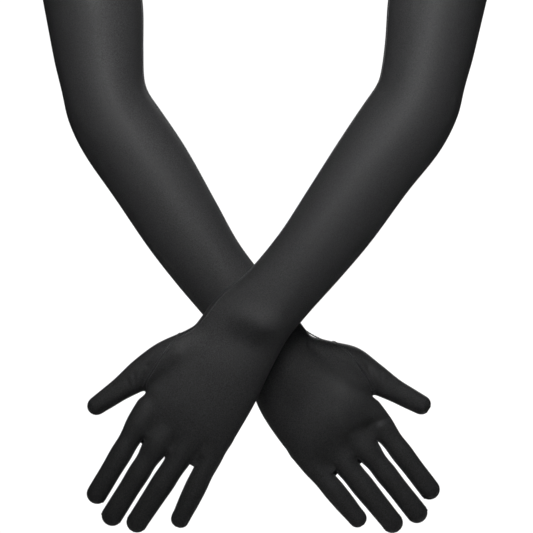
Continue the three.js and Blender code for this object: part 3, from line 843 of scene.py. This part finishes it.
def hem_facing(glove):
    """The sleeve's edge, rolled over and turned in."""
    limb, sides, roll = glove.arm, 96, HEM_ROLL
    bend = np.linspace(0, math.pi, 9)
    outside = [(-roll * math.sin(a), roll * (1 - math.cos(a))) for a in bend]
    inside = [(-(roll - CLOTH) * math.sin(a), roll - (roll - CLOTH) * math.cos(a)) for a in bend]
    deep = 2 * roll
    profile = outside + [(6, deep), (12, deep), (HEM_DEPTH, deep)]
    inner = [(HEM_DEPTH, deep - CLOTH), (12, deep - CLOTH), (6, deep - CLOTH)] + inside[::-1]
    ring = profile + inner
    verts = [
        glove.world(arm_point(limb, s, 360 * k / sides, i))[0] for s, i in ring for k in range(sides)
    ]
    faces, rows = [], len(ring)
    for r in range(rows):
        for k in range(sides):
            j = (k + 1) % sides
            q = (r + 1) % rows
            faces.append((r * sides + k, r * sides + j, q * sides + j, q * sides + k))
    mesh = bpy.data.meshes.new(glove.name + "_hem_facing")
    mesh.from_pydata([tuple(v) for v in verts], [], faces)
    bm = bmesh.new()
    bm.from_mesh(mesh)
    bmesh.ops.recalc_face_normals(bm, faces=bm.faces)
    bm.to_mesh(mesh)
    bm.free()
    mesh.shade_smooth()
    piece = bpy.data.objects.new(glove.name + "_hem_facing", mesh)
    bpy.context.scene.collection.objects.link(piece)
    return piece


# ----------------------------------------------------------------------------------------- materials


def satin(name, colour, rough, knit):
    """Black stretch cloth: a fine grain in its colour and its surface, and a slow unevenness in its gloss."""
    made = bpy.data.materials.new(name)
    made.use_nodes = True
    nodes, links = made.node_tree.nodes, made.node_tree.links
    surface = nodes["Principled BSDF"]
    surface.inputs["Base Color"].default_value = (*colour, 1)
    surface.inputs["Specular IOR Level"].default_value = 0.35
    place = nodes.new("ShaderNodeTexCoord")
    grain = nodes.new("ShaderNodeTexNoise")
    grain.inputs["Scale"].default_value = knit
    grain.inputs["Detail"].default_value = 4.0
    grain.inputs["Roughness"].default_value = 0.7
    links.new(place.outputs["Object"], grain.inputs["Vector"])
    drift = nodes.new("ShaderNodeTexNoise")
    drift.inputs["Scale"].default_value = 28.0
    drift.inputs["Detail"].default_value = 3.0
    links.new(place.outputs["Object"], drift.inputs["Vector"])
    tone = nodes.new("ShaderNodeMapRange")
    tone.inputs["To Min"].default_value = rough - 0.04
    tone.inputs["To Max"].default_value = rough + 0.04
    links.new(drift.outputs["Fac"], tone.inputs["Value"])
    links.new(tone.outputs["Result"], surface.inputs["Roughness"])
    mix = nodes.new("ShaderNodeMix")
    mix.data_type = "RGBA"
    mix.inputs["A"].default_value = (*[0.45 * c for c in colour], 1)
    mix.inputs["B"].default_value = (*[1.55 * c for c in colour], 1)
    fleck = nodes.new("ShaderNodeMapRange")
    fleck.inputs["From Min"].default_value = 0.36
    fleck.inputs["From Max"].default_value = 0.64
    links.new(grain.outputs["Fac"], fleck.inputs["Value"])
    links.new(fleck.outputs["Result"], mix.inputs["Factor"])
    links.new(mix.outputs["Result"], surface.inputs["Base Color"])
    bump = nodes.new("ShaderNodeBump")
    bump.inputs["Strength"].default_value = 0.35
    bump.inputs["Distance"].default_value = 0.0002
    links.new(grain.outputs["Fac"], bump.inputs["Height"])
    links.new(bump.outputs["Normal"], surface.inputs["Normal"])
    return made


# ------------------------------------------------------------------------------- camera and lighting

CAMERA_AWAY = 8.0
VIEW_WIDE = 0.41574
VIEW_CENTRE = -0.27787
FLOOR = -0.56

camera_data = bpy.data.cameras.new("camera")
camera_data.sensor_width = 36.0
camera_data.lens = 36.0 * CAMERA_AWAY / VIEW_WIDE
camera_data.clip_end = 60.0
camera = bpy.data.objects.new("camera", camera_data)
camera.location = (0, -CAMERA_AWAY, VIEW_CENTRE)
camera.rotation_euler = (math.radians(90), 0, 0)
bpy.context.scene.collection.objects.link(camera)
bpy.context.scene.camera = camera
bpy.context.scene.view_settings.view_transform = "Standard"


def soft_light(name, place, aim, size, watts):
    """A rectangular soft box that faces a point."""
    data = bpy.data.lights.new(name, "AREA")
    data.shape = "RECTANGLE"
    data.size, data.size_y = size
    data.energy = watts
    light = bpy.data.objects.new(name, data)
    light.location = place
    light.rotation_euler = (Vector(aim) - Vector(place)).to_track_quat("-Z", "Y").to_euler()
    bpy.context.scene.collection.objects.link(light)
    return light


def narrowed(light, degrees):
    """Keeps a soft box's light within a cone."""
    light.data.spread = math.radians(degrees)


middle = (0, 0, -0.25)
key = soft_light("key", (0.0, -0.62, 0.5), (0, 0, -0.08), (0.7, 0.4), 1.0)
narrowed(key, 54)
front = soft_light("front", (0.0, -1.1, 0.0), (0, 0, -0.09), (0.4, 0.25), 0.48)
narrowed(front, 38)
soft_light("fill", (0.0, -1.7, 0.1), middle, (0.9, 0.7), 0.25)
soft_light("top", (0, 0.5, 1.4), middle, (1.0, 1.0), 0.4)
soft_light("behind", (0.2, 1.3, 0.35), middle, (0.8, 0.8), 5.5)

world = bpy.data.worlds.new("studio")
bpy.context.scene.world = world
world.use_nodes = True
air, joinery = world.node_tree.nodes, world.node_tree.links
room = air["Background"]
room.inputs["Color"].default_value = (1, 1, 1, 1)
room.inputs["Strength"].default_value = 0.03
paper = air.new("ShaderNodeBackground")
paper.inputs["Color"].default_value = (1, 1, 1, 1)
paper.inputs["Strength"].default_value = 1.05
ray = air.new("ShaderNodeLightPath")
choose = air.new("ShaderNodeMixShader")
joinery.new(ray.outputs["Is Camera Ray"], choose.inputs["Fac"])
joinery.new(room.outputs["Background"], choose.inputs[1])
joinery.new(paper.outputs["Background"], choose.inputs[2])
joinery.new(choose.outputs["Shader"], air["World Output"].inputs["Surface"])

floor_mesh = bpy.data.meshes.new("floor")
corners = [(x, y, FLOOR) for x, y in ((-2, -2), (2, -2), (2, 0.5), (-2, 0.5))]
floor_mesh.from_pydata(corners, [], [(0, 1, 2, 3)])
floor = bpy.data.objects.new("floor", floor_mesh)
bpy.context.scene.collection.objects.link(floor)
pale = bpy.data.materials.new("pale_floor")
pale.use_nodes = True
pale.node_tree.nodes["Principled BSDF"].inputs["Base Color"].default_value = (0.8, 0.8, 0.8, 1)
pale.node_tree.nodes["Principled BSDF"].inputs["Roughness"].default_value = 0.9
pale.node_tree.nodes["Principled BSDF"].inputs["Emission Color"].default_value = (1, 1, 1, 1)
glow = pale.node_tree.nodes.new("ShaderNodeLightPath")
dim = pale.node_tree.nodes.new("ShaderNodeMath")
dim.operation = "MULTIPLY"
dim.inputs[1].default_value = 0.6
pale.node_tree.links.new(glow.outputs["Is Camera Ray"], dim.inputs[0])
pale.node_tree.links.new(dim.outputs[0], pale.node_tree.nodes["Principled BSDF"].inputs["Emission Strength"])
floor_mesh.materials.append(pale)


# ----------------------------------------------------------------------------------------- the pair

SATIN = satin("black_satin", (0.030, 0.030, 0.031), 0.62, 1300)
STRIP_SATIN = satin("strip_satin", (0.026, 0.026, 0.027), 0.64, 1300)
THREAD = satin("black_thread", (0.045, 0.045, 0.048), 0.5, 6000)
# The seam's raised edge is coloured lighter than the cloth. This paints a highlight along each seam's ridge,
# on top of the ridge's real raised shape.
SEAM_EDGE_HIGHLIGHT = satin("seam_edge_highlight", (0.05, 0.05, 0.052), 0.5, 1400)
ELASTIC = satin("woven_elastic", (0.024, 0.024, 0.026), 0.8, 700)
SEAM = seam_tree()

for side in ("left", "right"):
    glove = Glove(side)
    for part, piece in cut_glove(glove).items():
        strip = "fourchette" in part
        piece.data.materials.append(STRIP_SATIN if strip else SATIN)
        body = part.split("_fourchette")[0].split("_")[0]
        joins(glove, piece, body)
        if part == "sleeve":
            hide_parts(f"{side}_upper_sleeve", f"{side}_elbow", f"{side}_forearm_sleeve")
        elif part == "hand":
            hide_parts(f"{side}_wrist", f"{side}_palm_and_back", f"{side}_thumb_foot")
        elif part in FINGERS or part == "thumb":
            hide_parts(f"{side}_{part}_knuckle", f"{side}_{part}_tip")
        elif part.startswith("fourchette"):
            piece.name = f"{side}_{part}_strip"
            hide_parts(f"{side}_{part}")
    lines = seam_lines(glove)
    for part, found in seams_by_part(glove, lines).items():
        seam = sewn_lines(f"{side}_{part}_seams", glove, found, SEAM, SEAM_EDGE_HIGHLIGHT, THREAD)
        joins(glove, seam, part)
    elastic = bpy.data.objects[f"{side}_hem_elastic"]
    elastic.data.materials.clear()
    elastic.data.materials.append(ELASTIC)
    facing = hem_facing(glove)
    facing.data.materials.append(SATIN)
    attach(facing, f"{side}_cuff")
    rows = [
        np.array([arm_point(glove.arm, s, turn) for turn in np.arange(0, 361, 2)])
        for s in (HEM_DEPTH - 3.2, HEM_DEPTH - 1)
    ]
    hem = sewn_lines(
        f"{side}_hem_stitching", glove, rows, SEAM, THREAD, THREAD, edge_half_width=0.1,
        stitch_thickness=0.26, stitch_length=2.0, stitch_spacing=3.0,
    )
    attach(hem, f"{side}_cuff")
